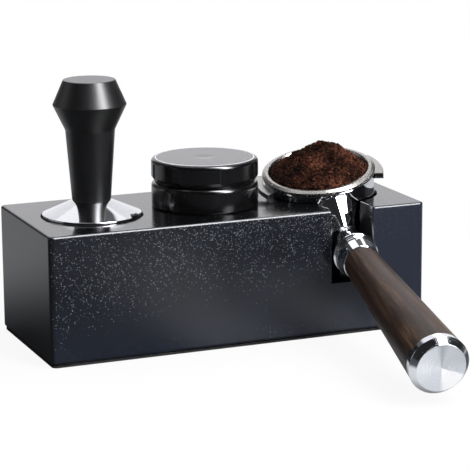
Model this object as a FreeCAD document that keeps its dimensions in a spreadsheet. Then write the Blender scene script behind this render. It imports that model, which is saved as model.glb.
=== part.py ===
import FreeCAD, Part
import os
import Sketcher

# Espresso tamping station, with the tamper, the distributor and the filled portafilter standing in it.
# The origin is on the table, under the middle of the moulded box. +X runs along the box to the
# portafilter, the portafilter's handle comes out over the front, at -Y, and +Z is up.

# Driving dimensions, in millimetres and degrees.
SIZES = {
    # moulded box
    "box_width": "234", "box_depth": "96", "box_height": "74.6", "corner_radius": "3",
    "edge_radius": "1.5", "foot_radius": "2.2", "pocket_edge": "0.6", "side_wall": "3.5",
    "roof_wall": "4", "sleeve_wall": "2.4", "inner_radius": "2", "boss_radius": "4",
    "boss_inset": "9", "pilot_radius": "1.3", "pilot_depth": "9",
    # underside
    "mat_thickness": "1.4", "mat_inset": "0.8", "plate_thickness": "3", "plate_ledge": "1.2",
    "plate_gap": "0.3", "screw_radius": "1.5", "screw_grip": "8", "screw_head_radius": "2.9",
    "screw_head_height": "1.6", "screw_gap": "0.2",
    # pockets, with the play round what stands in them
    "tamper_offset": "75.5", "distributor_offset": "4.6", "portafilter_x": "72", "portafilter_y": "2.9",
    "pocket_play": "0.75", "cup_play": "1.4", "notch_width": "26", "notch_shift": "2",
    "pocket_depth": "22",
    # tamper
    "base_radius": "29", "base_wall": "22", "base_rim_round": "1.2", "cone_edge_radius": "26.4",
    "cone_edge_rise": "2.4", "cone_rise": "9.1", "grip_foot_radius": "11.3", "grip_knee_radius": "14.4",
    "grip_knee_height": "41.3", "grip_head_radius": "21.4", "grip_head_height": "56",
    "grip_top_radius": "15.1", "grip_height": "70.4", "grip_edge": "0.6", "stud_radius": "4",
    "stud_in_base": "13", "stud_in_grip": "18", "thread_gap": "0.05", "stud_tip": "0.8",
    # distributor
    "puck_radius": "29", "puck_height": "8", "vane_drop": "3", "vane_count": "3", "puck_drop": "2",
    "hub_radius": "17", "hub_gap": "0.1", "hub_bore_radius": "11", "hub_floor": "4", "hub_engagement": "9",
    "ring_radius": "31.7", "collar_height": "15", "collar_foot_round": "1.2", "collar_top_round": "3",
    "cap_height": "13.8", "cap_chamfer_width": "2", "cap_chamfer_height": "3.2", "cap_top_round": "2.5",
    "cap_roof": "3.6", "cap_dimple_radius": "7", "cap_dimple_depth": "0.4",
    "scallop_radius": "5.5", "scallop_depth": "1", "scallop_count": "8",
    "hub_screw_radius": "2.5", "hub_screw_head_radius": "4.5", "hub_screw_head_height": "3",
    "hub_screw_bite": "5",
    # how the portafilter leans in its pocket
    "handle_heading": "-6.89", "handle_dip": "11.72", "side_roll": "7.9", "seat_gap": "0.3",
    # filter basket
    "basket_lip_radius": "30.6", "basket_crown_radius": "32.2", "basket_rim_radius": "34.35",
    "basket_bead": "2.2", "basket_crown_fall": "1.3",
    "basket_sheet": "0.9", "basket_radius": "30", "basket_depth": "24", "basket_floor_radius": "26.4",
    "basket_bead_round": "0.8", "basket_lip_round": "0.5", "spring_wire_radius": "0.7", "spring_depth": "12",
    "spring_opening": "24", "spring_play": "0.1",
    # portafilter casting
    "cup_radius": "33.2", "cup_rim_radius": "34", "cup_rim_height": "2.1", "cup_wall": "2.2",
    "rim_groove_height": "0.8", "rim_groove_depth": "1.2", "cup_rim_edge": "0.3",
    "cup_depth": "38", "bowl_radius": "18", "bowl_floor": "4", "boss_outer_radius": "12.5",
    "boss_height": "3", "ear_radius": "39.2", "ear_depth": "7.7", "ear_thickness": "3.4",
    "ear_edge": "0.5", "ear_half_angle": "22.5", "neck_depth": "27.7", "neck_radius": "9.6",
    "neck_reach": "64.8",
    # gusset of the neck: its section at the cup, its section at the front of its slope, and its tip
    "root_width": "23", "root_shoulder_width": "19", "root_shoulder_depth": "9",
    "root_top_width": "13.6", "root_top_depth": "5.4", "root_ridge_depth": "4.6", "root_reach": "40.5",
    "root_end_width": "20", "root_end_shoulder_width": "16.4", "root_end_shoulder_height": "11",
    "root_end_top_width": "9.2", "root_end_top_height": "15", "root_end_ridge_height": "16.5",
    "root_tip_reach": "53", "root_tip_share": "0.98",
    # spout
    "nipple_radius": "8.2", "nipple_length": "6", "spout_flange_radius": "11", "spout_flange_height": "4",
    "washer_thickness": "1.5", "tube_radius": "4.5", "tube_wall": "1.1", "tube_spread": "11",
    "spout_reach": "58.6", "spout_bend_rise": "6",
    # handle
    "ferrule_length": "14", "ferrule_radius": "13.1", "ferrule_front_radius": "12.9",
    "ferrule_edge": "0.7", "ferrule_band_end": "6.5", "wood_front_radius": "10.6",
    "wood_length": "123.6", "wood_back_radius": "16.57", "rod_radius": "4", "rod_in_neck": "14",
    "rod_in_wood": "45", "end_cap_height": "8.3", "end_cap_band": "4.4", "end_cap_radius": "16.96",
    "end_cap_face_radius": "13.84", "spigot_radius": "8", "spigot_length": "14",
    # ground coffee
    "coffee_gap": "0.3", "coffee_shore": "1.9", "coffee_shoulder_radius": "18",
    "coffee_shoulder_height": "6.4", "coffee_crown_radius": "8", "coffee_crown_height": "13.2",
    "coffee_peak": "17.4",
}

# Values that follow from the driving dimensions.
FITS = {
    "top_face": "sizes.mat_thickness + sizes.box_height",
    "inner_width": "sizes.box_width - 2 * sizes.side_wall",
    "inner_depth": "sizes.box_depth - 2 * sizes.side_wall",
    "rebate_width": "fits.inner_width + 2 * sizes.plate_ledge",
    "rebate_depth": "fits.inner_depth + 2 * sizes.plate_ledge",
    "boss_x": "sizes.box_width / 2 - sizes.boss_inset",
    "boss_y": "sizes.box_depth / 2 - sizes.boss_inset",
    "tamper_pocket": "sizes.base_radius + sizes.pocket_play",
    "distributor_pocket": "sizes.puck_radius + sizes.pocket_play",
    "cup_pocket": "sizes.cup_radius + sizes.cup_play",
    "notch_x": "sizes.portafilter_x - sizes.notch_shift",
    # The cup leans on its left ear, on the pocket's back edge and on one end of its spout.
    "lean": "acos(cos(sizes.handle_dip) * cos(sizes.side_roll)) / 1 deg",
    "ear_fall": "cos(sizes.handle_dip) * sin(sizes.side_roll) * cos(sizes.ear_half_angle)"
                " + sin(sizes.handle_dip) * sin(sizes.ear_half_angle)",
    "rim_lift": "sizes.ear_depth * cos(fits.lean) + sizes.ear_radius * fits.ear_fall + sizes.seat_gap",
    "lean_shift": "tan(fits.lean) * fits.rim_lift + sizes.cup_radius / cos(fits.lean)"
                  " + sizes.seat_gap - fits.cup_pocket",
    "normal_x": "-cos(sizes.handle_heading) * sin(sizes.side_roll)"
                " + sin(sizes.handle_heading) * sin(sizes.handle_dip) * cos(sizes.side_roll)",
    "normal_y": "-sin(sizes.handle_heading) * sin(sizes.side_roll)"
                " - cos(sizes.handle_heading) * sin(sizes.handle_dip) * cos(sizes.side_roll)",
    "seat_x": "sizes.portafilter_x + fits.lean_shift * fits.normal_x / sin(fits.lean)",
    "seat_y": "sizes.portafilter_y + fits.lean_shift * fits.normal_y / sin(fits.lean)",
    "seat_z": "fits.top_face + fits.rim_lift",
    "cup_pocket_depth": "cos(sizes.handle_dip) * sin(sizes.side_roll) * sizes.tube_spread"
                        " + sin(fits.lean) * sizes.tube_radius + cos(fits.lean) * sizes.spout_reach"
                        " - fits.rim_lift + sizes.seat_gap",
}

SEAT_TURN = ("create(<<rotation>>; sizes.handle_heading; 0; 0)"
             " * create(<<rotation>>; 0; 0; sizes.handle_dip)"
             " * create(<<rotation>>; 0; -sizes.side_roll; 0)")
SEAT = "create(<<placement>>; create(<<vector>>; fits.seat_x; fits.seat_y; fits.seat_z); " + SEAT_TURN + ")"

doc = FreeCAD.newDocument("tamping_station")


def fill_sheet(name, cells, prefix):
    sheet = doc.addObject("Spreadsheet::Sheet", name)
    for row, (alias, text) in enumerate(cells.items(), start=1):
        sheet.set(f"A{row}", alias)
        sheet.setAlias(f"B{row}", alias)
        sheet.set(f"B{row}", prefix + text)
        doc.recompute()
    return sheet


sizes = fill_sheet("sizes", SIZES, "")
fits = fill_sheet("fits", {alias: text.replace("fits.", "") for alias, text in FITS.items()}, "=")


def value(expression):
    return float(fits.evalExpression(str(expression)))


def new_body(label):
    body = doc.addObject("PartDesign::Body", label)
    body.Label = label
    return body


def place(piece, x="0", y="0", z="0"):
    piece.setExpression("Placement.Base.x", x)
    piece.setExpression("Placement.Base.y", y)
    piece.setExpression("Placement.Base.z", z)


def place_in_seat(piece, reach=None):
    """Sets a piece in the leaning portafilter's frame, or on its handle's axis at a reach from the cup."""
    local = ""
    if reach is not None:
        local = (f" * create(<<placement>>; create(<<vector>>; 0; -({reach}); -sizes.neck_depth);"
                 " create(<<rotation>>; 0; 0; 90))")
    piece.setExpression("Placement", SEAT + local)


def sketch_on(body, name, role, offset="0"):
    sketch = body.newObject("Sketcher::SketchObject", name)
    plane = [item for item in body.Origin.OriginFeatures if item.Role == role][0]
    sketch.AttachmentSupport = [(plane, "")]
    sketch.MapMode = "FlatFace"
    if offset != "0":
        sketch.setExpression("AttachmentOffset.Base.z", offset)
    return sketch


def hold(sketch, kind, geometry, point, expression):
    """Fixes one coordinate of a point, or one radius, to an expression."""
    if kind == "Radius":
        index = sketch.addConstraint(Sketcher.Constraint(kind, geometry, value(expression)))
    elif expression == "0":
        axis = -2 if kind == "DistanceX" else -1
        sketch.addConstraint(Sketcher.Constraint("PointOnObject", geometry, point, axis))
        return
    else:
        index = sketch.addConstraint(Sketcher.Constraint(kind, geometry, point, value(expression)))
    sketch.setExpression(f"Constraints[{index}]", expression)


def outline(body, name, role, points, offset="0"):
    """A closed outline of straight lines through the given points."""
    sketch = sketch_on(body, name, role, offset)
    spots = [FreeCAD.Vector(value(x), value(y), 0) for x, y in points]
    count = len(points)
    for index in range(count):
        sketch.addGeometry(Part.LineSegment(spots[index], spots[(index + 1) % count]))
    for index in range(count):
        sketch.addConstraint(Sketcher.Constraint("Coincident", index, 2, (index + 1) % count, 1))
    for index, (x, y) in enumerate(points):
        hold(sketch, "DistanceX", index, 1, x)
        hold(sketch, "DistanceY", index, 1, y)
    return sketch


def circles(body, name, role, spots, offset="0"):
    """Circles given as (x, y, radius)."""
    sketch = sketch_on(body, name, role, offset)
    for index, (x, y, radius) in enumerate(spots):
        centre = FreeCAD.Vector(value(x), value(y), 0)
        sketch.addGeometry(Part.Circle(centre, FreeCAD.Vector(0, 0, 1), value(radius)))
        hold(sketch, "DistanceX", index, 3, x)
        hold(sketch, "DistanceY", index, 3, y)
        hold(sketch, "Radius", index, 0, radius)
    return sketch


def block(left, right, front, back):
    return [(left, front), (right, front), (right, back), (left, back)]


def grow(body, name, kind, sketch, length, reverse=False):
    """A Pad or Pocket of a sketch. A Pad follows the sketch's normal and a Pocket goes against it."""
    feature = body.newObject("PartDesign::" + kind, name)
    feature.Profile = sketch
    feature.setExpression("Length", length)
    feature.Reversed = reverse
    doc.recompute()
    return feature


def spin(body, name, kind, sketch, angle="360", middle=False):
    """A Revolution or Groove of a sketch about its upright axis."""
    feature = body.newObject("PartDesign::" + kind, name)
    feature.Profile = sketch
    feature.ReferenceAxis = (sketch, ["V_Axis"])
    feature.Midplane = middle
    feature.setExpression("Angle", angle)
    doc.recompute()
    return feature


def dress(body, name, kind, edges, size):
    """A Fillet or Chamfer on the edges of the body's tip that a test picks."""
    base = body.Tip
    names = [f"Edge{index}" for index, edge in enumerate(base.Shape.Edges, start=1) if edges(edge)]
    if not names:
        raise ValueError(f"{body.Label}: no edge for {name}")
    feature = body.newObject("PartDesign::" + kind, name)
    feature.Base = (base, names)
    feature.setExpression("Radius" if kind == "Fillet" else "Size", size)
    doc.recompute()
    return feature


def near(first, second):
    return abs(first - second) < 1e-4


def ring_edge(radius, height):
    """Picks the whole round edges of a radius at a height."""
    wanted_radius = value(radius)
    wanted_height = value(height)

    def picks(edge):
        curve = edge.Curve
        return (isinstance(curve, Part.Circle) and near(curve.Radius, wanted_radius)
                and near(curve.Center.z, wanted_height))
    return picks


def upright_edge(reach_x, reach_y):
    """Picks the upright edges that stand at plus or minus a reach along X and along Y."""
    wanted_x = value(reach_x)
    wanted_y = value(reach_y)

    def picks(edge):
        first, last = edge.Vertexes[0].Point, edge.Vertexes[-1].Point
        upright = near(first.x, last.x) and near(first.y, last.y)
        return upright and near(abs(first.x), wanted_x) and near(abs(first.y), wanted_y)
    return picks


def level_edge(height):
    """Picks every edge that lies in one level plane."""
    wanted = value(height)

    def picks(edge):
        return near(edge.BoundBox.ZMin, wanted) and near(edge.BoundBox.ZMax, wanted)
    return picks


def notch_sides():
    return [value(f"fits.notch_x {sign} sizes.notch_width / 2") for sign in "-+"]


def rim_edge(height, reach_x, reach_y):
    """Picks the level edges round the outside of a height, and the notch's edges that run into them."""
    wanted = value(height)
    far_x = value(reach_x)
    far_y = value(reach_y)
    sides = notch_sides()

    def picks(edge):
        box = edge.BoundBox
        level = near(box.ZMin, wanted) and near(box.ZMax, wanted)
        reaches_x = near(max(abs(box.XMin), abs(box.XMax)), far_x)
        outside = reaches_x or near(max(abs(box.YMin), abs(box.YMax)), far_y)
        beside = near(box.XMin, box.XMax) and any(near(box.XMin, side) for side in sides)
        return level and (outside or beside)
    return picks


def notch_edge(reach_y):
    """Picks the notch's two upright edges in the front wall."""
    front = -value(reach_y)
    sides = notch_sides()

    def picks(edge):
        first, last = edge.Vertexes[0].Point, edge.Vertexes[-1].Point
        upright = near(first.x, last.x) and near(first.y, last.y) and near(first.y, front)
        return upright and any(near(first.x, side) for side in sides)
    return picks


def lathe(label, points):
    """A body turned from an outline of (radius, height) points."""
    body = new_body(label)
    spin(body, label + "_turned", "Revolution", outline(body, label + "_profile", "XZ_Plane", points))
    return body


def boss_spots(radius):
    """Six places along the two long walls, for the screws of the underside."""
    columns = ("-fits.boss_x", "0", "fits.boss_x")
    rows = ("-fits.boss_y", "fits.boss_y")
    return [(x, y, radius) for x in columns for y in rows]


# Station

def station_body():
    """The moulded box: an open-bottomed shell with three round pockets and a notch in its front."""
    body = new_body("station_body")
    half_x, half_y = "sizes.box_width / 2", "sizes.box_depth / 2"
    hull = block("-" + half_x, half_x, "-" + half_y, half_y)
    grow(body, "hull", "Pad", outline(body, "hull_outline", "XY_Plane", hull), "sizes.box_height")
    dress(body, "hull_corners", "Fillet", upright_edge(half_x, half_y), "sizes.corner_radius")
    dress(body, "hull_foot_edge", "Fillet", level_edge("0"), "sizes.foot_radius")

    in_x, in_y = "fits.inner_width / 2", "fits.inner_depth / 2"
    hollow = outline(body, "hollow_outline", "XY_Plane", block("-" + in_x, in_x, "-" + in_y, in_y))
    grow(body, "hollow", "Pocket", hollow, "sizes.box_height - sizes.roof_wall", reverse=True)
    dress(body, "hollow_corners", "Fillet", upright_edge(in_x, in_y), "sizes.inner_radius")

    start = "sizes.box_height - sizes.roof_wall / 2"
    sleeve = "sizes.sleeve_wall - sizes.roof_wall / 2"
    shallow = circles(body, "shallow_sleeve_rings", "XY_Plane", [
        ("-sizes.tamper_offset", "0", "fits.tamper_pocket + sizes.sleeve_wall"),
        ("-sizes.distributor_offset", "0", "fits.distributor_pocket + sizes.sleeve_wall")], start)
    grow(body, "shallow_sleeves", "Pad", shallow, f"sizes.pocket_depth + {sleeve}", reverse=True)
    deep = circles(body, "deep_sleeve_ring", "XY_Plane", [
        ("sizes.portafilter_x", "sizes.portafilter_y", "fits.cup_pocket + sizes.sleeve_wall")], start)
    grow(body, "deep_sleeve", "Pad", deep, f"fits.cup_pocket_depth + {sleeve}", reverse=True)
    channel_half = "(sizes.notch_width / 2 + sizes.sleeve_wall)"
    channel = outline(body, "channel_outline", "XY_Plane", block(
        "fits.notch_x - " + channel_half, "fits.notch_x + " + channel_half,
        "sizes.side_wall / 2 - sizes.box_depth / 2", "sizes.portafilter_y"), start)
    grow(body, "channel", "Pad", channel, f"fits.cup_pocket_depth + {sleeve}", reverse=True)

    top = "sizes.box_height"
    grow(body, "shallow_pockets", "Pocket", circles(body, "shallow_pocket_rings", "XY_Plane", [
        ("-sizes.tamper_offset", "0", "fits.tamper_pocket"),
        ("-sizes.distributor_offset", "0", "fits.distributor_pocket")], top), "sizes.pocket_depth")
    grow(body, "cup_pocket", "Pocket", circles(body, "cup_pocket_ring", "XY_Plane", [
        ("sizes.portafilter_x", "sizes.portafilter_y", "fits.cup_pocket")], top), "fits.cup_pocket_depth")
    notch = outline(body, "notch_outline", "XY_Plane", block(
        "fits.notch_x - sizes.notch_width / 2", "fits.notch_x + sizes.notch_width / 2",
        "-sizes.box_depth / 2 - sizes.side_wall", "sizes.portafilter_y"), top)
    grow(body, "notch", "Pocket", notch, "fits.cup_pocket_depth")
    dress(body, "notch_sides", "Fillet", notch_edge(half_y), "sizes.edge_radius")
    dress(body, "hull_top_edge", "Fillet", rim_edge(top, half_x, half_y), "sizes.edge_radius")
    dress(body, "pocket_edges", "Fillet", level_edge(top), "sizes.pocket_edge")

    seat = "sizes.plate_thickness"
    posts = circles(body, "post_rings", "XY_Plane", boss_spots("sizes.boss_radius"), seat)
    grow(body, "screw_posts", "Pad", posts, "sizes.box_height - sizes.roof_wall / 2 - sizes.plate_thickness")
    pilots = circles(body, "pilot_rings", "XY_Plane", boss_spots("sizes.pilot_radius"), seat)
    grow(body, "screw_pilots", "Pocket", pilots, "sizes.pilot_depth", reverse=True)
    rim_x, rim_y = "fits.rebate_width / 2", "fits.rebate_depth / 2"
    rebate = outline(body, "rebate_outline", "XY_Plane", block("-" + rim_x, rim_x, "-" + rim_y, rim_y))
    grow(body, "plate_rebate", "Pocket", rebate, "sizes.plate_thickness", reverse=True)
    place(body, z="sizes.mat_thickness")
    return body


def base_plate():
    """The flat plate that closes the underside, with six counterbored screw holes."""
    body = new_body("base_plate")
    half_x = "(fits.rebate_width / 2 - sizes.plate_gap)"
    half_y = "(fits.rebate_depth / 2 - sizes.plate_gap)"
    sheet = outline(body, "plate_outline", "XY_Plane", block("-" + half_x, half_x, "-" + half_y, half_y))
    grow(body, "plate", "Pad", sheet, "sizes.plate_thickness")
    dress(body, "plate_corners", "Fillet", upright_edge(half_x, half_y), "sizes.inner_radius")
    holes = circles(body, "plate_hole_rings", "XY_Plane",
                    boss_spots("sizes.screw_radius + sizes.screw_gap"), "sizes.plate_thickness")
    grow(body, "plate_holes", "Pocket", holes, "sizes.plate_thickness")
    sinks = circles(body, "plate_sink_rings", "XY_Plane",
                    boss_spots("sizes.screw_head_radius + sizes.screw_gap"))
    grow(body, "plate_sinks", "Pocket", sinks, "sizes.screw_head_height", reverse=True)
    place(body, z="sizes.mat_thickness")
    return body


def base_mat():
    """The thin rubber mat on which the station stands."""
    body = new_body("base_mat")
    half_x = "(sizes.box_width / 2 - sizes.mat_inset)"
    half_y = "(sizes.box_depth / 2 - sizes.mat_inset)"
    sheet = outline(body, "mat_outline", "XY_Plane", block("-" + half_x, half_x, "-" + half_y, half_y))
    grow(body, "mat", "Pad", sheet, "sizes.mat_thickness")
    dress(body, "mat_corners", "Fillet", upright_edge(half_x, half_y), "sizes.corner_radius")
    place(body)
    return body


def plate_screws():
    """Six pan-head screws, as one group."""
    head_height = value("sizes.screw_head_height")
    head = Part.makeCylinder(value("sizes.screw_head_radius"), head_height)
    shank_length = value("sizes.plate_thickness - sizes.screw_head_height + sizes.screw_grip")
    shank = Part.makeCylinder(value("sizes.pilot_radius"), shank_length, FreeCAD.Vector(0, 0, head_height))
    screw = head.fuse(shank).removeSplitter()
    group = []
    for x, y, _ in boss_spots("0"):
        copy = screw.copy()
        copy.translate(FreeCAD.Vector(value(x), value(y), 0))
        group.append(copy)
    piece = doc.addObject("Part::Feature", "plate_screws")
    piece.Label = "plate_screws"
    piece.Shape = Part.makeCompound(group)
    place(piece, z="sizes.mat_thickness")
    return piece


# Tamper

def tamper_base():
    """The turned steel base: a straight wall that fills the basket, and a low bright cone."""
    wall = "sizes.base_wall"
    bore = "sizes.stud_radius + sizes.thread_gap"
    bore_end = f"{wall} + sizes.cone_rise - sizes.stud_in_base"
    body = lathe("tamper_base", [
        ("0", "0"), ("sizes.base_radius", "0"), ("sizes.base_radius", wall),
        ("sizes.cone_edge_radius", wall + " + sizes.cone_edge_rise"),
        ("sizes.grip_foot_radius", wall + " + sizes.cone_rise"),
        (bore, wall + " + sizes.cone_rise"), (bore, bore_end), ("0", bore_end)])
    dress(body, "rim_round", "Fillet", ring_edge("sizes.base_radius", wall), "sizes.base_rim_round")
    dress(body, "foot_edge", "Chamfer", ring_edge("sizes.base_radius", "0"), "sizes.grip_edge")
    place(body, x="-sizes.tamper_offset", z="fits.top_face - sizes.pocket_depth")
    return body


def tamper_grip():
    """The turned handle: a slim cone that flares at a knee into a head of two cones."""
    bore = "sizes.stud_radius + sizes.thread_gap"
    body = lathe("tamper_grip", [
        (bore, "0"), ("sizes.grip_foot_radius", "0"), ("sizes.grip_knee_radius", "sizes.grip_knee_height"),
        ("sizes.grip_head_radius", "sizes.grip_head_height"), ("sizes.grip_top_radius", "sizes.grip_height"),
        ("0", "sizes.grip_height"), ("0", "sizes.stud_in_grip"), (bore, "sizes.stud_in_grip")])
    dress(body, "head_edge", "Fillet",
          ring_edge("sizes.grip_head_radius", "sizes.grip_head_height"), "sizes.grip_edge")
    dress(body, "top_edge", "Fillet",
          ring_edge("sizes.grip_top_radius", "sizes.grip_height"), "sizes.grip_edge")
    dress(body, "foot_round", "Fillet", ring_edge("sizes.grip_foot_radius", "0"), "sizes.grip_edge")
    place(body, x="-sizes.tamper_offset",
          z="fits.top_face - sizes.pocket_depth + sizes.base_wall + sizes.cone_rise")
    return body


def tamper_stud():
    """The threaded stud between the base and the handle."""
    length = "(sizes.stud_in_base + sizes.stud_in_grip - 2 * sizes.stud_tip)"
    body = lathe("tamper_stud", [
        ("0", "0"), ("sizes.stud_radius - sizes.stud_tip", "0"), ("sizes.stud_radius", "sizes.stud_tip"),
        ("sizes.stud_radius", length + " - sizes.stud_tip"),
        ("sizes.stud_radius - sizes.stud_tip", length), ("0", length)])
    place(body, x="-sizes.tamper_offset",
          z="fits.top_face - sizes.pocket_depth + sizes.base_wall + sizes.cone_rise"
            " - sizes.stud_in_base + sizes.stud_tip")
    return body


# Distributor

def distributor_puck():
    """The steel levelling foot. Three sloping facets sweep round its underside."""
    bore = "sizes.hub_screw_radius + sizes.thread_gap"
    bore_end = "sizes.puck_height - sizes.hub_screw_bite"
    body = lathe("distributor_puck", [
        ("0", "0"), ("sizes.puck_radius", "0"), ("sizes.puck_radius", "sizes.puck_height"),
        (bore, "sizes.puck_height"), (bore, bore_end), ("0", bore_end)])
    reach = "sizes.puck_radius + sizes.vane_drop"
    facet = outline(body, "facet_outline", "XZ_Plane", [
        (f"-({reach})", "0"), (reach, "0"), (reach, "sizes.vane_drop")])
    cut = grow(body, "facet", "Pocket", facet, reach)
    swirl = body.newObject("PartDesign::PolarPattern", "facets")
    swirl.Originals = [cut]
    swirl.Axis = (facet, ["V_Axis"])
    swirl.Angle = 360
    swirl.setExpression("Occurrences", "sizes.vane_count")
    body.Tip = swirl
    doc.recompute()
    place(body, x="-sizes.distributor_offset", z="fits.top_face - sizes.puck_drop - sizes.puck_height")
    return body


def distributor_hub():
    """The threaded hub that carries the cap and the collar, open at the top."""
    height = "(sizes.puck_drop + sizes.collar_height + sizes.hub_engagement)"
    hole = "sizes.hub_screw_radius + sizes.screw_gap"
    body = lathe("distributor_hub", [
        (hole, "0"), ("sizes.hub_radius", "0"), ("sizes.hub_radius", height),
        ("sizes.hub_bore_radius", height), ("sizes.hub_bore_radius", "sizes.hub_floor"),
        (hole, "sizes.hub_floor")])
    place(body, x="-sizes.distributor_offset", z="fits.top_face - sizes.puck_drop")
    return body


def distributor_screw():
    """The screw that fastens the levelling foot under the hub."""
    shank = "(sizes.hub_screw_bite + sizes.hub_floor - sizes.stud_tip)"
    body = lathe("distributor_screw", [
        ("0", "0"), ("sizes.hub_screw_radius", "0"), ("sizes.hub_screw_radius", shank),
        ("sizes.hub_screw_head_radius", shank),
        ("sizes.hub_screw_head_radius", shank + " + sizes.hub_screw_head_height"),
        ("0", shank + " + sizes.hub_screw_head_height")])
    place(body, x="-sizes.distributor_offset",
          z="fits.top_face - sizes.puck_drop - sizes.hub_screw_bite + sizes.stud_tip")
    return body


def distributor_collar():
    """The lower ring, which stands on the box and sets the depth."""
    bore = "sizes.hub_radius + sizes.hub_gap"
    body = lathe("distributor_collar", [
        (bore, "0"), ("sizes.ring_radius", "0"), ("sizes.ring_radius", "sizes.collar_height"),
        (bore, "sizes.collar_height")])
    dress(body, "collar_foot", "Fillet", ring_edge("sizes.ring_radius", "0"), "sizes.collar_foot_round")
    dress(body, "collar_shoulder", "Fillet",
          ring_edge("sizes.ring_radius", "sizes.collar_height"), "sizes.collar_top_round")
    place(body, x="-sizes.distributor_offset", z="fits.top_face")
    return body


def distributor_cap():
    """The upper ring, closed on top by a roof with a shallow dimple, with eight finger scallops."""
    bore = "sizes.hub_radius + sizes.hub_gap"
    bore_end = "sizes.cap_height - sizes.cap_roof"
    dimple_floor = "sizes.cap_height - sizes.cap_dimple_depth"
    body = lathe("distributor_cap", [
        (bore, "0"), ("sizes.ring_radius - sizes.cap_chamfer_width", "0"),
        ("sizes.ring_radius", "sizes.cap_chamfer_height"), ("sizes.ring_radius", "sizes.cap_height"),
        ("sizes.cap_dimple_radius", "sizes.cap_height"), ("0", dimple_floor), ("0", bore_end),
        (bore, bore_end)])
    dress(body, "cap_edge", "Fillet", ring_edge("sizes.ring_radius", "sizes.cap_height"),
          "sizes.cap_top_round")
    ring = circles(body, "scallop_ring", "XY_Plane", [
        ("sizes.ring_radius + sizes.scallop_radius - sizes.scallop_depth", "0", "sizes.scallop_radius")])
    cut = grow(body, "scallop", "Pocket", ring, "sizes.cap_height - sizes.cap_top_round", reverse=True)
    crown = body.newObject("PartDesign::PolarPattern", "scallops")
    crown.Originals = [cut]
    crown.Axis = (ring, ["N_Axis"])
    crown.Angle = 360
    crown.setExpression("Occurrences", "sizes.scallop_count")
    body.Tip = crown
    doc.recompute()
    place(body, x="-sizes.distributor_offset", z="fits.top_face + sizes.collar_height")
    return body


# Portafilter, in a frame with its origin at the rim's centre and its handle along -Y

def portafilter_body():
    """The cast cup with its two locking ears and the root and neck of the handle, one piece."""
    body = new_body("portafilter_body")
    rim, wall_foot = "-sizes.basket_bead", "-(sizes.basket_bead + sizes.cup_rim_height)"
    step = "(sizes.cup_rim_radius - sizes.cup_radius)"
    groove_foot = f"({rim} - sizes.rim_groove_height)"
    groove_radius = "sizes.cup_rim_radius - sizes.rim_groove_depth"
    cup = outline(body, "cup_profile", "XZ_Plane", [
        ("0", rim), (groove_radius, rim), (groove_radius, groove_foot),
        ("sizes.cup_rim_radius - sizes.cup_rim_edge", groove_foot),
        ("sizes.cup_rim_radius", f"{groove_foot} - sizes.cup_rim_edge"), ("sizes.cup_rim_radius", wall_foot),
        ("sizes.cup_radius", f"{wall_foot} - {step}"), ("sizes.cup_radius", "-sizes.cup_depth"),
        ("sizes.boss_outer_radius", "-sizes.cup_depth"),
        ("sizes.boss_outer_radius", "-(sizes.cup_depth + sizes.boss_height)"),
        ("0", "-(sizes.cup_depth + sizes.boss_height)")])
    spin(body, "cup", "Revolution", cup)
    dress(body, "bowl", "Fillet", ring_edge("sizes.cup_radius", "-sizes.cup_depth"), "sizes.bowl_radius")

    ear_top = "-(sizes.ear_depth - sizes.ear_thickness)"
    ear = outline(body, "ear_section", "XZ_Plane", block(
        "sizes.cup_radius - sizes.cup_wall / 2", "sizes.ear_radius", "-sizes.ear_depth", ear_top))
    lug = spin(body, "ear", "Revolution", ear, "2 * sizes.ear_half_angle", middle=True)
    pair = body.newObject("PartDesign::PolarPattern", "ears")
    pair.Originals = [lug]
    pair.Axis = (ear, ["V_Axis"])
    pair.Angle = 360
    pair.Occurrences = 2
    body.Tip = pair
    doc.recompute()
    dress(body, "ear_top_edges", "Fillet", ring_edge("sizes.ear_radius", ear_top), "sizes.ear_edge")
    dress(body, "ear_foot_edges", "Fillet", ring_edge("sizes.ear_radius", "-sizes.ear_depth"),
          "sizes.ear_edge")

    neck_root(body)
    axis_height = "-sizes.neck_depth"
    bar = circles(body, "neck_ring", "XZ_Plane", [("0", axis_height, "sizes.neck_radius")],
                  "sizes.cup_radius - sizes.cup_wall")
    grow(body, "neck", "Pad", bar, "sizes.neck_reach - sizes.cup_radius + sizes.cup_wall")
    socket = circles(body, "neck_socket_ring", "XZ_Plane",
                     [("0", axis_height, "sizes.rod_radius + sizes.thread_gap")], "sizes.neck_reach")
    grow(body, "neck_socket", "Pocket", socket, "sizes.rod_in_neck")

    bore = "sizes.cup_radius - sizes.cup_wall"
    inside = outline(body, "cup_bore_profile", "XZ_Plane", [
        ("0", "sizes.boss_height"), (bore, "sizes.boss_height"),
        (bore, "sizes.bowl_radius - sizes.cup_depth"),
        (f"{bore} - sizes.bowl_floor", "sizes.bowl_radius - sizes.cup_depth - 2 * sizes.bowl_floor"),
        ("sizes.boss_outer_radius + sizes.bowl_floor", "sizes.bowl_floor - sizes.cup_depth"),
        ("sizes.nipple_radius + sizes.thread_gap", "sizes.bowl_floor - sizes.cup_depth"),
        ("sizes.nipple_radius + sizes.thread_gap", "-(sizes.cup_depth + 2 * sizes.boss_height)"),
        ("0", "-(sizes.cup_depth + 2 * sizes.boss_height)")])
    spin(body, "cup_bore", "Groove", inside)
    groove = outline(body, "spring_groove_section", "XZ_Plane", block(
        "sizes.basket_radius", f"{bore} + sizes.spring_wire_radius",
        "-(sizes.spring_depth + sizes.spring_wire_radius + sizes.spring_play)",
        "-(sizes.spring_depth - sizes.spring_wire_radius - sizes.spring_play)"))
    spin(body, "spring_groove", "Groove", groove)
    place_in_seat(body)
    return body


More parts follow.
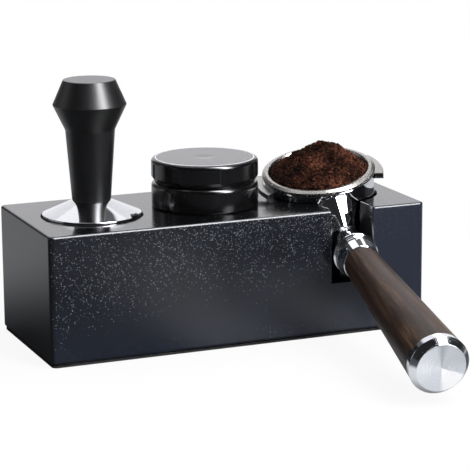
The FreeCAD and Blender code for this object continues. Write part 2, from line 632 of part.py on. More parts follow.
def gusset(half_keel, half_width, half_shoulder, shoulder, half_top, top, ridge):
    """One section of the neck's root: nine corners, from half widths and from heights."""
    keel = "(-sizes.neck_depth - sizes.root_tip_share * sizes.neck_radius)"
    right = [(half_keel, keel), (half_width, "-sizes.neck_depth"), (half_shoulder, shoulder), (half_top, top)]
    return right + [("0", ridge)] + [(f"-({x})", y) for x, y in reversed(right)]


def neck_root(body):
    """The neck's root: a gusset with a low ridge, which slopes and narrows from the cup to the neck."""
    tall = gusset("sizes.root_top_width / 2", "sizes.root_width / 2", "sizes.root_shoulder_width / 2",
                  "-sizes.root_shoulder_depth", "sizes.root_top_width / 2", "-sizes.root_top_depth",
                  "-sizes.root_ridge_depth")
    low = gusset("sizes.root_end_top_width / 2", "sizes.root_end_width / 2",
                 "sizes.root_end_shoulder_width / 2", "sizes.root_end_shoulder_height - sizes.neck_depth",
                 "sizes.root_end_top_width / 2", "sizes.root_end_top_height - sizes.neck_depth",
                 "sizes.root_end_ridge_height - sizes.neck_depth")
    girth = "(sizes.root_tip_share * sizes.neck_radius)"
    narrow, middle = f"{girth} * sin(30)", f"{girth} * cos(45)"
    last = gusset(narrow, girth, middle, f"{middle} - sizes.neck_depth", narrow,
                  f"{girth} * cos(30) - sizes.neck_depth", f"{girth} - sizes.neck_depth")
    inner = outline(body, "root_inner", "XZ_Plane", tall, "sizes.cup_radius - 2 * sizes.cup_wall")
    outer = outline(body, "root_outer", "XZ_Plane", tall, "sizes.cup_radius")
    slope = outline(body, "root_slope", "XZ_Plane", low, "sizes.root_reach")
    tip = outline(body, "root_tip", "XZ_Plane", last, "sizes.root_tip_reach")
    loft = body.newObject("PartDesign::AdditiveLoft", "root")
    loft.Profile = inner
    loft.Sections = [outer, slope, tip]
    loft.Ruled = True
    doc.recompute()
    return loft


def filter_basket():
    """The pressed steel basket, with its rolled rim lying on the cup."""
    inner = "sizes.basket_radius - sizes.basket_sheet"
    floor_inner = "sizes.basket_floor_radius - sizes.basket_sheet"
    body = lathe("filter_basket", [
        ("0", "-sizes.basket_depth"), ("sizes.basket_floor_radius", "-sizes.basket_depth"),
        ("sizes.basket_radius", "-sizes.spring_depth - sizes.basket_bead"),
        ("sizes.basket_radius", "-sizes.basket_bead"),
        ("sizes.basket_lip_radius + sizes.basket_sheet", "-sizes.basket_sheet"),
        ("sizes.cup_rim_radius - sizes.basket_bead", "-sizes.basket_sheet"),
        ("sizes.cup_rim_radius - sizes.basket_bead", "-sizes.basket_bead"),
        ("sizes.basket_rim_radius", "-sizes.basket_bead"),
        ("sizes.basket_rim_radius", "-sizes.basket_crown_fall"), ("sizes.basket_crown_radius", "0"),
        ("sizes.basket_lip_radius", "0"), (inner, "-sizes.basket_bead"),
        (inner, "-sizes.spring_depth - sizes.basket_bead"),
        (floor_inner, "sizes.basket_sheet - sizes.basket_depth"),
        ("0", "sizes.basket_sheet - sizes.basket_depth")])
    dress(body, "bead_round", "Fillet", ring_edge("sizes.basket_rim_radius", "-sizes.basket_crown_fall"),
          "sizes.basket_bead_round")
    dress(body, "crown_round", "Fillet", ring_edge("sizes.basket_crown_radius", "0"),
          "sizes.basket_bead_round")
    dress(body, "lip_round", "Fillet", ring_edge("sizes.basket_lip_radius", "0"),
          "sizes.basket_lip_round")
    place_in_seat(body)
    return body


def basket_spring():
    """The wire ring in the cup's groove that grips the basket."""
    ring = doc.addObject("Part::Torus", "basket_spring")
    ring.Label = "basket_spring"
    ring.setExpression("Radius1", "sizes.basket_radius + sizes.spring_wire_radius + sizes.spring_play")
    ring.setExpression("Radius2", "sizes.spring_wire_radius")
    ring.setExpression("Angle3", "360 - sizes.spring_opening")
    drop = "create(<<vector>>; 0; 0; -sizes.spring_depth)"
    ring.setExpression("Placement", f"{SEAT} * create(<<placement>>; {drop}; create(<<rotation>>; 0; 0; 0))")
    return ring


def spout_washer():
    """The fibre washer between the cup and the spout."""
    body = lathe("spout_washer", [
        ("sizes.nipple_radius + sizes.screw_gap", "0"), ("sizes.spout_flange_radius", "0"),
        ("sizes.spout_flange_radius", "sizes.washer_thickness"),
        ("sizes.nipple_radius + sizes.screw_gap", "sizes.washer_thickness")])
    drop = "-(sizes.cup_depth + sizes.boss_height + sizes.washer_thickness)"
    shift = f"create(<<placement>>; create(<<vector>>; 0; 0; {drop}); create(<<rotation>>; 0; 0; 0))"
    body.setExpression("Placement", f"{SEAT} * {shift}")
    return body


def tube(name, radius, foot, head):
    """A cylinder between two points of the spout, each (side, height)."""
    piece = doc.addObject("Part::Cylinder", name)
    piece.setExpression("Radius", radius)
    run, rise = f"({head[0]} - ({foot[0]}))", f"({head[1]} - ({foot[1]}))"
    piece.setExpression("Height", f"sqrt({run} * {run} + {rise} * {rise})")
    piece.setExpression("Placement", f"create(<<placement>>; create(<<vector>>; {foot[0]}; 0; {foot[1]});"
                                     f" create(<<rotation>>; 0; atan2({run}; {rise}); 0))")
    return piece


def ball(name, radius, spot):
    piece = doc.addObject("Part::Sphere", name)
    piece.setExpression("Radius", radius)
    piece.setExpression("Placement.Base.x", spot[0])
    piece.setExpression("Placement.Base.z", spot[1])
    return piece


def spout():
    """The twin spout: a threaded nipple and flange, and two short tubes that turn straight down."""
    shoulder = "-(sizes.cup_depth + sizes.boss_height + sizes.washer_thickness)"
    flange_foot = f"({shoulder} - sizes.spout_flange_height)"
    bend = "(sizes.spout_bend_rise - sizes.spout_reach)"
    fork = f"({flange_foot} - sizes.tube_wall)"
    reach = "-sizes.spout_reach"
    bore = "(sizes.tube_radius - sizes.tube_wall)"
    solids = [tube("spout_nipple", "sizes.nipple_radius", ("0", shoulder),
                   ("0", f"{shoulder} + sizes.nipple_length")),
              tube("spout_flange", "sizes.spout_flange_radius", ("0", flange_foot), ("0", shoulder)),
              ball("spout_fork", "sizes.nipple_radius", ("0", fork))]
    holes = [tube("spout_throat", bore, ("0", fork), ("0", f"{shoulder} + 2 * sizes.nipple_length"))]
    for side, sign in (("left", "-"), ("right", "")):
        elbow = (f"{sign}sizes.tube_spread", bend)
        end = (f"{sign}sizes.tube_spread", reach)
        past = (f"{sign}sizes.tube_spread", f"{reach} - sizes.tube_radius")
        solids.append(tube(f"spout_{side}_arm", "sizes.tube_radius", ("0", fork), elbow))
        solids.append(ball(f"spout_{side}_elbow", "sizes.tube_radius", elbow))
        solids.append(tube(f"spout_{side}_leg", "sizes.tube_radius", end, elbow))
        holes.append(tube(f"spout_{side}_arm_bore", bore, ("0", fork), elbow))
        holes.append(ball(f"spout_{side}_elbow_bore", bore, elbow))
        holes.append(tube(f"spout_{side}_leg_bore", bore, past, elbow))
    outside = doc.addObject("Part::MultiFuse", "spout_outside")
    outside.Shapes = solids
    inside = doc.addObject("Part::MultiFuse", "spout_inside")
    inside.Shapes = holes
    piece = doc.addObject("Part::Cut", "spout")
    piece.Label = "spout"
    piece.Base = outside
    piece.Tool = inside
    piece.setExpression("Placement", SEAT)
    return piece


# Handle, along its own axis

def handle_ferrule():
    """The bright ring between the neck and the wood."""
    hole = "sizes.rod_radius + sizes.thread_gap"
    body = lathe("handle_ferrule", [
        (hole, "0"), ("sizes.ferrule_radius - sizes.ferrule_edge", "0"),
        ("sizes.ferrule_radius", "sizes.ferrule_edge"),
        ("sizes.ferrule_front_radius", "sizes.ferrule_band_end"),
        ("sizes.wood_front_radius", "sizes.ferrule_length"), (hole, "sizes.ferrule_length")])
    place_in_seat(body, "sizes.neck_reach")
    return body


def handle_wood():
    """The walnut handle, a long cone that widens to its end."""
    hole = "sizes.rod_radius + sizes.thread_gap"
    socket = "sizes.spigot_radius + sizes.thread_gap"
    socket_start = "sizes.wood_length - sizes.spigot_length"
    body = lathe("handle_wood", [
        (hole, "0"), ("sizes.wood_front_radius", "0"), ("sizes.wood_back_radius", "sizes.wood_length"),
        (socket, "sizes.wood_length"), (socket, socket_start), ("0", socket_start),
        ("0", "sizes.rod_in_wood"), (hole, "sizes.rod_in_wood")])
    place_in_seat(body, "sizes.neck_reach + sizes.ferrule_length")
    return body


def handle_rod():
    """The threaded rod that draws the neck, the ferrule and the wood together."""
    length = "(sizes.rod_in_neck + sizes.ferrule_length + sizes.rod_in_wood - 2 * sizes.stud_tip)"
    body = lathe("handle_rod", [
        ("0", "0"), ("sizes.rod_radius - sizes.stud_tip", "0"), ("sizes.rod_radius", "sizes.stud_tip"),
        ("sizes.rod_radius", length + " - sizes.stud_tip"), ("sizes.rod_radius - sizes.stud_tip", length),
        ("0", length)])
    place_in_seat(body, "sizes.neck_reach - sizes.rod_in_neck + sizes.stud_tip")
    return body


def handle_end_cap():
    """The turned aluminium end, held in the wood by its spigot."""
    body = lathe("handle_end_cap", [
        ("0", "sizes.stud_tip - sizes.spigot_length"),
        ("sizes.spigot_radius", "sizes.stud_tip - sizes.spigot_length"),
        ("sizes.spigot_radius", "0"), ("sizes.wood_back_radius", "0"),
        ("sizes.end_cap_radius", "sizes.end_cap_band"),
        ("sizes.end_cap_face_radius", "sizes.end_cap_height"), ("0", "sizes.end_cap_height")])
    place_in_seat(body, "sizes.neck_reach + sizes.ferrule_length + sizes.wood_length")
    return body


def coffee_grounds():
    """The heaped ground coffee, filling the basket."""
    inner = "sizes.basket_radius - sizes.basket_sheet - sizes.coffee_gap"
    floor = "sizes.basket_sheet + sizes.coffee_gap - sizes.basket_depth"
    body = lathe("coffee_grounds", [
        ("0", floor), ("sizes.basket_floor_radius - sizes.basket_sheet - sizes.coffee_gap", floor),
        (inner, "-sizes.spring_depth - sizes.basket_bead"), (inner, "-sizes.coffee_shore"),
        ("sizes.coffee_shoulder_radius", "sizes.coffee_shoulder_height"),
        ("sizes.coffee_crown_radius", "sizes.coffee_crown_height"), ("0", "sizes.coffee_peak")])
    place_in_seat(body)
    return body


PIECES = [
    station_body(), base_plate(), base_mat(), plate_screws(),
    tamper_base(), tamper_grip(), tamper_stud(),
    distributor_puck(), distributor_hub(), distributor_screw(), distributor_collar(), distributor_cap(),
    portafilter_body(), filter_basket(), basket_spring(), spout_washer(), spout(),
    handle_ferrule(), handle_wood(), handle_rod(), handle_end_cap(), coffee_grounds(),
]
doc.recompute()

for item in doc.Objects:
    if "Invalid" in item.State or "Error" in item.State:
        raise RuntimeError(f"{item.Label} failed: {item.State}")
for piece in PIECES:
    if piece.Shape.isNull() or not piece.Shape.isValid():
        raise RuntimeError(f"{piece.Label} has no valid shape")

os.makedirs("parts", exist_ok=True)
for piece in PIECES:
    piece.Shape.exportStep(f"parts/{piece.Label}.step")
    print(piece.Label, len(piece.Shape.Solids), round(piece.Shape.Volume))
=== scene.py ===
import math
import random

import bmesh
import bpy
from mathutils import Matrix, Vector, noise


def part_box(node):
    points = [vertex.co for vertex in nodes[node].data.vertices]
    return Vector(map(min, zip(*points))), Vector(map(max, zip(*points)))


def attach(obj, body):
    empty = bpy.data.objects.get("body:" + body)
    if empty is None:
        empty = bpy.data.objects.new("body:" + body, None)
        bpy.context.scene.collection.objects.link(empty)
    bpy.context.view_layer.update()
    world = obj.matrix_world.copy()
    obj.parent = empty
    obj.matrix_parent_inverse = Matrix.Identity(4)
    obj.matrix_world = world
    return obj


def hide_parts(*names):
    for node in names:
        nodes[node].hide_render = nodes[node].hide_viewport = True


# Espresso tamping station: the moulded box with its tamper, its distributor and the filled
# portafilter, in the studio light of the product photograph. Materials, camera and light are in
# metres. Each piece is turned or cast in millimetres in a frame of its own, which then places it.

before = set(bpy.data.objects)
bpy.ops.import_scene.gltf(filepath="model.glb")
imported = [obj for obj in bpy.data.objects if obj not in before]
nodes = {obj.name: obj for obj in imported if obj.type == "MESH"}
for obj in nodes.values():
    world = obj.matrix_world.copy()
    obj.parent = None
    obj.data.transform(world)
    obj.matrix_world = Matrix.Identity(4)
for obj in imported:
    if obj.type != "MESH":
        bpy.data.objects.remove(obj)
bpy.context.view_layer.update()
MM = 0.001

# Sizes in millimetres that more than one piece follows. The neck's depth and the cup's are taken
# from the rim, and the neck's end from the cup's middle, along the handle.
CUP_RADIUS = 33.2
CUP_DEPTH = 38.0
BASKET_BEAD = 2.2
NECK_DEPTH = 27.7
NECK_RADIUS = 9.6
NECK_END = 64.8
FERRULE_LENGTH = 14.0
WOOD_LENGTH = 123.6
WOOD_FRONT_RADIUS = 10.6
WOOD_BACK_RADIUS = 16.57
BUTTON_LENGTH = 8.3
HANDLE_END = NECK_END + FERRULE_LENGTH + WOOD_LENGTH + BUTTON_LENGTH
DISTRIBUTOR_RADIUS = 31.7
GRIP_FOOT_RADIUS = 11.3
GRIP_HEIGHT = 70.4


def frame_at(x, y, z):
    """An upright frame at a place in millimetres."""
    return Matrix.Translation(Vector((x, y, z)) * MM)


def frame_under(node):
    """An upright frame at the middle of a CAD node's underside."""
    low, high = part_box(node)
    return Matrix.Translation(((low.x + high.x) / 2, (low.y + high.y) / 2, low.z))


# The leaning portafilter's frame: origin at its rim's centre, handle along -Y.
SEAT = (frame_at(69.447, -0.013, 91.689)
        @ Matrix.Rotation(math.radians(-6.89), 4, "Z")
        @ Matrix.Rotation(math.radians(11.72), 4, "X")
        @ Matrix.Rotation(math.radians(-7.9), 4, "Y"))
HANDLE = SEAT @ frame_at(0, 0, -NECK_DEPTH)
TAMPER = frame_under("tamper_base")
GRIP = frame_under("tamper_grip")
COLLAR = frame_under("distributor_collar")
FOOT_HEIGHT = (GRIP.translation.z - TAMPER.translation.z) / MM


def along_handle(distance):
    """A frame on the handle's axis whose Z runs out along the handle."""
    return HANDLE @ frame_at(0, -distance, 0) @ Matrix.Rotation(math.pi / 2, 4, "X")


# Nodes

SMOOTH = {"interpolation_type": "SMOOTHSTEP"}
FIRST, SECOND = 6, 7  # the two colours of a colour mix


def linear(code):
    """Turns an sRGB hex value into the linear colour that a shader takes."""
    shares = [int(code[i:i + 2], 16) / 255 for i in (1, 3, 5)]
    return [s / 12.92 if s <= 0.04045 else ((s + 0.055) / 1.055) ** 2.4 for s in shares] + [1.0]


def adder(tree):
    """Gives the function that adds one node to a tree, with its settings, a ramp's stops and its
    inputs. An input takes a node's first live output, an output, an sRGB hex value or a number."""
    def add(kind, inputs=None, stops=(), **settings):
        node = tree.nodes.new("ShaderNode" + kind)
        for name, setting in settings.items():
            setattr(node, name, setting)
        for index, (position, code) in enumerate(stops):
            points = node.color_ramp.elements
            point = points[index] if index < len(points) else points.new(position)
            point.position, point.color = position, linear(code)
        for name, source in (inputs or {}).items():
            if isinstance(source, bpy.types.Node):
                source = next(output for output in source.outputs if output.enabled)
            if isinstance(source, bpy.types.NodeSocket):
                tree.links.new(source, node.inputs[name])
            else:
                node.inputs[name].default_value = linear(source) if isinstance(source, str) else source
        return node
    return add


def make_material(name, build):
    """A material from a function that returns a shader, or what a Principled shader takes."""
    material = bpy.data.materials.new(name)
    material.use_nodes = True
    material.node_tree.nodes.clear()
    add = adder(material.node_tree)
    made = build(add)
    if isinstance(made, dict):
        made = add("BsdfPrincipled", made)
    add("OutputMaterial", {"Surface": made})
    return material


def coords(add, local=None):
    """The place on the object in metres, or in a frame of its own."""
    place = add("TexCoord").outputs["Object"]
    if local is None:
        return place
    return add("Mapping", {"Vector": place, "Location": local.to_translation(),
                           "Rotation": local.to_euler()}, vector_type="TEXTURE")


def from_axis(add, place, across=(1, 1, 0)):
    """How far a place lies from its frame's Z axis, or from the axis that across leaves out."""
    flat = add("VectorMath", {0: place, 1: across}, operation="MULTIPLY")
    return add("VectorMath", {0: flat}, operation="LENGTH")


def product(add, *factors):
    """Several values multiplied, as masks are joined."""
    whole = factors[0]
    for factor in factors[1:]:
        whole = add("Math", {0: whole, 1: factor}, operation="MULTIPLY")
    return whole


# Materials. A pattern's scale is how many of its grains go into a millimetre, over MM, and its
# comment gives their size.

def moulded_abs(add):
    """Injection-moulded ABS with a spark-eroded grain. Its smoother top mirrors what stands on it.
    Its front glitters in painted specks: glints of light painted white into its colour, most of them above
    a line that climbs to the right."""
    place = coords(add)
    spot = add("SeparateXYZ", {"Vector": place})
    x, z = spot.outputs["X"], spot.outputs["Z"]
    normal = add("NewGeometry").outputs["Normal"]
    front = add("VectorMath", {0: normal, 1: (0, -1, 0)}, operation="DOT_PRODUCT")
    front = add("MapRange", {"Value": front, "From Min": 0.6, "From Max": 0.95}, **SMOOTH)
    top = add("VectorMath", {0: normal, 1: (0, 0, 1)}, operation="DOT_PRODUCT")
    top = add("MapRange", {"Value": top, "From Min": 0.6, "From Max": 0.95}, **SMOOTH)

    # Where the painted glints are dense: high over the line, towards the notch, and in 18 mm clouds.
    cloud = add("TexNoise", {"Vector": place, "Scale": 0.055 / MM, "Detail": 3})
    over_line = add("VectorMath", {0: place, 1: (-0.25, 0, 1)}, operation="DOT_PRODUCT")
    over_line = add("MapRange", {"Value": over_line, "From Min": 19 * MM, "From Max": 64 * MM,
                                 "To Max": 0.6})
    near_notch = add("MapRange", {"Value": x, "From Min": -60 * MM, "From Max": 30 * MM,
                                  "To Max": 0.25}, **SMOOTH)
    density = add("Math", {0: over_line, 1: near_notch}, operation="ADD")
    density = add("Math", {0: cloud, 1: 0.45, 2: density}, operation="MULTIPLY_ADD")

    # One painted glint in some cells of 0.5 mm: a white speck in the colour that stands in for light caught
    # by the grain. That is coarser than the real ones, so that they show.
    cells = add("TexVoronoi", {"Vector": place, "Scale": 1.9 / MM})
    lot = add("SeparateColor", {"Color": cells.outputs["Color"]})
    chance = add("Math", {0: density, 1: 0.5, 2: lot.outputs["Red"]}, operation="MULTIPLY_ADD")
    chance = add("MapRange", {"Value": chance, "From Min": 1.20, "From Max": 1.30}, **SMOOTH)
    dot = add("MapRange", {"Value": cells.outputs["Distance"], "From Min": 0.18, "From Max": 0.40,
                           "To Min": 1.0, "To Max": 0.0}, **SMOOTH)
    power = add("Math", {0: lot.outputs["Green"], 1: 3.5}, operation="POWER")
    power = add("MapRange", {"Value": power, "To Min": 0.10})
    past_notch = add("MapRange", {"Value": x, "From Min": 60 * MM, "From Max": 80 * MM,
                                  "To Min": 1.0, "To Max": 0.2}, **SMOOTH)
    painted_glint = product(add, chance, dot, power, front, past_notch)

    # The black, bluish beside the notch and near the table, over a grain of 0.4 mm that just shows. Only
    # the front gets this tone, painted lighter where the glints crowd; the other faces are a plain black.
    grain = add("TexNoise", {"Vector": place, "Scale": 2.4 / MM})
    shade = add("Math", {0: cloud, 1: 0.6}, operation="MULTIPLY")
    shade = add("Math", {0: grain, 1: 0.4, 2: shade}, operation="MULTIPLY_ADD")
    tone = add("ValToRGB", {"Fac": shade}, [(0.35, "#0c0f15"), (0.65, "#171b24")])
    beside = add("MapRange", {"Value": x, "From Min": 75 * MM, "From Max": 85 * MM}, **SMOOTH)
    below = add("MapRange", {"Value": z, "From Min": 0.0, "From Max": 40 * MM,
                             "To Min": 0.5, "To Max": 0.0}, **SMOOTH)
    bluish = add("Math", {0: beside, 1: below}, operation="MAXIMUM")
    tone = add("Mix", {"Factor": bluish, FIRST: tone, SECOND: "#242936"}, data_type="RGBA")
    tone = add("Mix", {"Factor": front, FIRST: "#0b0c0e", SECOND: tone}, data_type="RGBA")
    # Painted glints: white specks laid into the colour of the front.
    colour = add("Mix", {"Factor": painted_glint, FIRST: tone, SECOND: "#f2f4f7"}, data_type="RGBA")
    depth = add("MapRange", {"Value": top, "To Min": 1.0, "To Max": 0.22}, **SMOOTH)
    return {"Base Color": colour, "IOR": 1.55,
            "Roughness": add("MapRange", {"Value": top, "To Min": 0.27, "To Max": 0.15}, **SMOOTH),
            "Normal": add("Bump", {"Height": product(add, grain, depth), "Distance": 0.02 * MM,
                                   "Strength": 0.6})}


def moulded_cover(add):
    """Injection-moulded ABS with a matt grain of 0.7 mm, for the cover of the underside."""
    grain = add("TexNoise", {"Vector": coords(add), "Scale": 1.4 / MM, "Detail": 3})
    return {"Base Color": add("ValToRGB", {"Fac": grain}, [(0.3, "#121317"), (0.8, "#24262b")]),
            "Roughness": 0.55, "Normal": add("Bump", {"Height": grain, "Distance": 0.06 * MM})}


def calendered_rubber(add):
    """Calendered rubber sheet: dusty black, with a 1.1 mm grain from the rollers."""
    grain = add("TexNoise", {"Vector": coords(add), "Scale": 0.9 / MM, "Detail": 4})
    return {"Base Color": add("ValToRGB", {"Fac": grain}, [(0.25, "#0d0d0d"), (0.8, "#232323")]),
            "Roughness": 0.8, "Normal": add("Bump", {"Height": grain, "Distance": 0.1 * MM})}


def zinc_plated_steel(add):
    """Zinc-plated steel, grey and half bright, with the plating's faint 4 mm clouds."""
    cloud = add("TexNoise", {"Vector": coords(add), "Scale": 0.26 / MM, "Detail": 4})
    return {"Base Color": add("ValToRGB", {"Fac": cloud}, [(0.3, "#a9adb2"), (0.7, "#c6c9cc")]),
            "Metallic": 1.0,
            "Roughness": add("MapRange", {"Value": cloud, "From Min": 0.3, "From Max": 0.7,
                                          "To Min": 0.28, "To Max": 0.42}, **SMOOTH)}


def polished_steel(add):
    """Stainless steel turned and polished until it mirrors, with the faintest 2.4 mm haze."""
    haze = add("TexNoise", {"Vector": coords(add, TAMPER), "Scale": 0.42 / MM, "Detail": 3})
    return {"Base Color": add("ValToRGB", {"Fac": haze}, [(0.3, "#c6c7c9"), (0.7, "#cdcdcf")]),
            "Metallic": 1.0,
            "Roughness": add("MapRange", {"Value": haze, "From Min": 0.3, "From Max": 0.7,
                                          "To Min": 0.025, "To Max": 0.05}, **SMOOTH)}


def black_anodised(add):
    """Turned aluminium anodised black: glossy on the distributor, blasted duller on the tamper's
    handle. A thin line round the cap's top edge is a painted highlight, made as bright bare metal."""
    place = coords(add)
    x = add("SeparateXYZ", {"Vector": place}).outputs["X"]
    blasted = add("MapRange", {"Value": x, "From Min": -45 * MM, "From Max": -40 * MM,
                               "To Min": 0.16, "To Max": 0.0}, **SMOOTH)
    # A painted highlight: a thin ring of bright metal round the cap's top edge.
    on_cap = coords(add, COLLAR)
    radius = from_axis(add, on_cap)
    level = add("SeparateXYZ", {"Vector": on_cap}).outputs["Z"]
    outside = add("MapRange", {"Value": radius, "From Min": 28.75 * MM, "From Max": 28.85 * MM}, **SMOOTH)
    inside = add("MapRange", {"Value": radius, "From Min": 29.45 * MM, "From Max": 29.55 * MM,
                              "To Min": 1.0, "To Max": 0.0}, **SMOOTH)
    high = add("MapRange", {"Value": level, "From Min": 28.6 * MM, "From Max": 28.7 * MM}, **SMOOTH)
    painted_highlight_line = product(add, outside, inside, high)
    # A grain of 0.4 mm, coarse enough to show, and 11 mm clouds of wear from hands.
    grain = add("TexNoise", {"Vector": place, "Scale": 2.4 / MM, "Roughness": 0.6})
    wear = add("TexNoise", {"Vector": place, "Scale": 0.09 / MM, "Detail": 3})
    black = add("ValToRGB", {"Fac": wear}, [(0.3, "#080809"), (0.7, "#0e0e0f")])
    gloss = add("MapRange", {"Value": grain, "From Min": 0.25, "From Max": 0.75,
                             "To Min": 0.15, "To Max": 0.24}, **SMOOTH)
    return {"Base Color": add("Mix", {"Factor": painted_highlight_line, FIRST: black, SECOND: "#cfd0d2"}, data_type="RGBA"),
            "Metallic": painted_highlight_line, "IOR": 1.6,
            "Roughness": add("Math", {0: gloss, 1: blasted}, operation="ADD"),
            "Normal": add("Bump", {"Height": grain, "Distance": 0.012 * MM, "Strength": 0.5})}


def bare_aluminium(add):
    """Turned aluminium left bare, dull bright, with the lathe's rings 0.6 mm apart."""
    place = coords(add, COLLAR)
    level = add("SeparateXYZ", {"Vector": place}).outputs["Z"]
    along = add("Math", {0: level, 1: 1.7, 2: from_axis(add, place)}, operation="MULTIPLY_ADD")
    ring = add("TexNoise", {"W": along, "Scale": 1 / (0.6 * MM)}, noise_dimensions="1D")
    return {"Base Color": add("ValToRGB", {"Fac": ring}, [(0.3, "#bcbec1"), (0.7, "#d2d3d5")]),
            "Metallic": 1.0,
            "Roughness": add("MapRange", {"Value": ring, "From Min": 0.3, "From Max": 0.7,
                                          "To Min": 0.25, "To Max": 0.36}, **SMOOTH)}


def chromed_brass(add):
    """Cast brass, polished and chromed: it mirrors over a slightly wavy ground, and is satin on
    the ears."""
    place = coords(add, SEAT)
    spot = add("SeparateXYZ", {"Vector": place})
    outward = add("MapRange", {"Value": from_axis(add, place), "From Min": 34.2 * MM,
                               "From Max": 34.6 * MM}, **SMOOTH)
    behind = add("MapRange", {"Value": spot.outputs["Y"], "From Min": -20 * MM,
                              "From Max": -19 * MM}, **SMOOTH)
    high = add("MapRange", {"Value": spot.outputs["Z"], "From Min": -9 * MM,
                            "From Max": -8.5 * MM}, **SMOOTH)
    ear = product(add, outward, behind, high)
    # Waves 14 mm long in the ground, and a haze of 1.1 mm.
    wave = add("TexNoise", {"Vector": place, "Scale": 0.07 / MM, "Detail": 1})
    haze = add("TexNoise", {"Vector": place, "Scale": 0.9 / MM, "Detail": 3})
    bright = add("ValToRGB", {"Fac": haze}, [(0.3, "#dedfe2"), (0.7, "#e6e7e9")])
    satin = add("ValToRGB", {"Fac": haze}, [(0.3, "#8f8e8b"), (0.7, "#a2a19d")])
    return {"Base Color": add("Mix", {"Factor": ear, FIRST: bright, SECOND: satin}, data_type="RGBA"),
            "Metallic": 1.0,
            "Roughness": add("MapRange", {"Value": ear, "To Min": 0.03, "To Max": 0.30}, **SMOOTH),
            "Normal": add("Bump", {"Height": wave, "Distance": 0.12 * MM, "Strength": 0.3})}


def drawn_steel(add):
    """Deep-drawn stainless steel: satin, with a 0.9 mm haze and a warm grey tone."""
    haze = add("TexNoise", {"Vector": coords(add), "Scale": 1.1 / MM, "Detail": 3})
    return {"Base Color": add("ValToRGB", {"Fac": haze}, [(0.3, "#989590"), (0.7, "#a19e99")]),
            "Metallic": 1.0,
            "Roughness": add("MapRange", {"Value": haze, "From Min": 0.3, "From Max": 0.7,
                                          "To Min": 0.24, "To Max": 0.28}, **SMOOTH)}


def vulcanised_fibre(add):
    """Vulcanised fibre, stamped: red-brown and dull, with a felt of 0.8 mm."""
    felt = add("TexNoise", {"Vector": coords(add), "Scale": 1.3 / MM, "Detail": 4})
    return {"Base Color": add("ValToRGB", {"Fac": felt}, [(0.3, "#5e2b1b"), (0.75, "#8a4a30")]),
            "Roughness": 0.8, "Normal": add("Bump", {"Height": felt, "Distance": 0.08 * MM})}


def oiled_walnut(add):
    """Turned walnut under oil, hardly glossy: long grain along the handle and dark open pores.
    The figure is 6 mm wide, a fibre 0.8 mm and a pore 0.5 mm, each 20 to 30 times as long."""
    place = coords(add, HANDLE)
    slow = add("VectorMath", {0: place, 1: (1, 0.045, 1)}, operation="MULTIPLY")
    figure = add("TexNoise", {"Vector": slow, "Scale": 0.17 / MM, "Detail": 3, "Roughness": 0.55,
                              "Distortion": 0.5})
    long = add("VectorMath", {0: place, 1: (1, 0.03, 1)}, operation="MULTIPLY")
    fibre = add("TexNoise", {"Vector": long, "Scale": 1.3 / MM, "Detail": 4, "Roughness": 0.6})
    short = add("VectorMath", {0: place, 1: (1, 0.05, 1)}, operation="MULTIPLY")
    pore = add("TexNoise", {"Vector": short, "Scale": 2.1 / MM})
    pore = add("MapRange", {"Value": pore, "From Min": 0.60, "From Max": 0.70}, **SMOOTH)
    shade = add("Math", {0: figure, 1: 0.6}, operation="MULTIPLY")
    shade = add("Math", {0: fibre, 1: 0.4, 2: shade}, operation="MULTIPLY_ADD")
    wood = add("ValToRGB", {"Fac": shade}, [
        (0.34, "#0f0b08"), (0.46, "#251a13"), (0.56, "#3e2e24"), (0.68, "#614a3c")])
    dark = add("Math", {0: pore, 1: 0.6}, operation="MULTIPLY")
    relief = add("Math", {0: pore, 1: -0.8, 2: fibre}, operation="MULTIPLY_ADD")
    return {"Base Color": add("Mix", {"Factor": dark, FIRST: wood, SECOND: "#0c0907"}, data_type="RGBA"),
            "Roughness": add("MapRange", {"Value": fibre, "From Min": 0.3, "From Max": 0.7,
                                          "To Min": 0.40, "To Max": 0.52}, **SMOOTH),
            "Specular IOR Level": 0.22,
            "Normal": add("Bump", {"Height": relief, "Distance": 0.04 * MM, "Strength": 0.5})}


